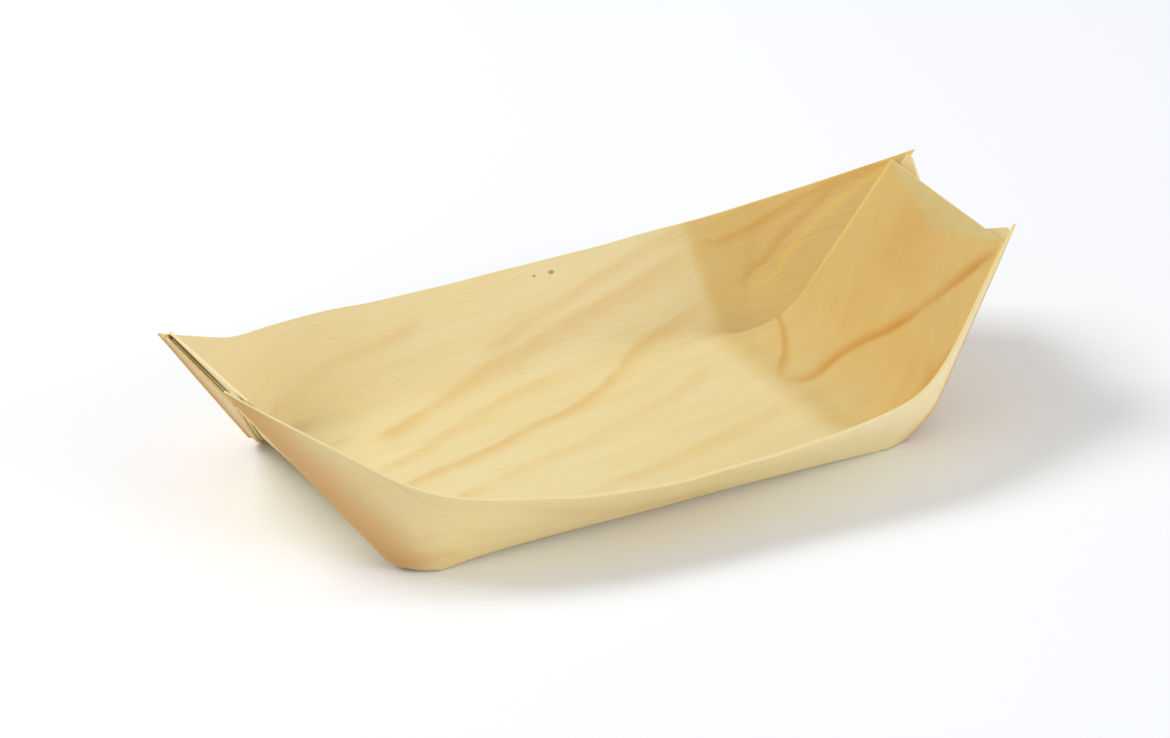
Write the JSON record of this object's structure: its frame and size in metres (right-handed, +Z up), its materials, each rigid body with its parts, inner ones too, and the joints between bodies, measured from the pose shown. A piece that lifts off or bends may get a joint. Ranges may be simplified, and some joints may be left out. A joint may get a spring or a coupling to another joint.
{
  "type": "wooden snack boat",
  "caption": "Shallow open serving boat folded from thin pine veneer, with flared walls, sloping end panels, pleated corners and raised ear tips.",
  "frame": {"origin": "centre of the boat's footprint, on the table plane under the flat bottom", "axes": "+X along the boat towards the stern, the wider end; +Y across it to starboard; +Z up"},
  "size_m": [0.2, 0.116, 0.044],
  "materials": {
    "veneer": "raw pale pine veneer, unsealed, lengthwise grain",
    "glue": "dried translucent adhesive film"
  },
  "bodies": {
    "root": {"hull_trough": "veneer", "bow_end_panel": "veneer", "stern_end_panel": "veneer", "bow_port_inner_flap": "veneer", "bow_port_outer_flap": "veneer", "bow_starboard_inner_flap": "veneer", "bow_starboard_outer_flap": "veneer", "stern_port_inner_flap": "veneer", "stern_port_outer_flap": "veneer", "stern_starboard_inner_flap": "veneer", "stern_starboard_outer_flap": "veneer", "bow_port_panel_glue": "glue", "bow_port_flap_glue": "glue", "bow_starboard_panel_glue": "glue", "bow_starboard_flap_glue": "glue", "stern_port_panel_glue": "glue", "stern_port_flap_glue": "glue", "stern_starboard_panel_glue": "glue", "stern_starboard_flap_glue": "glue"}
  },
  "joints": []
}
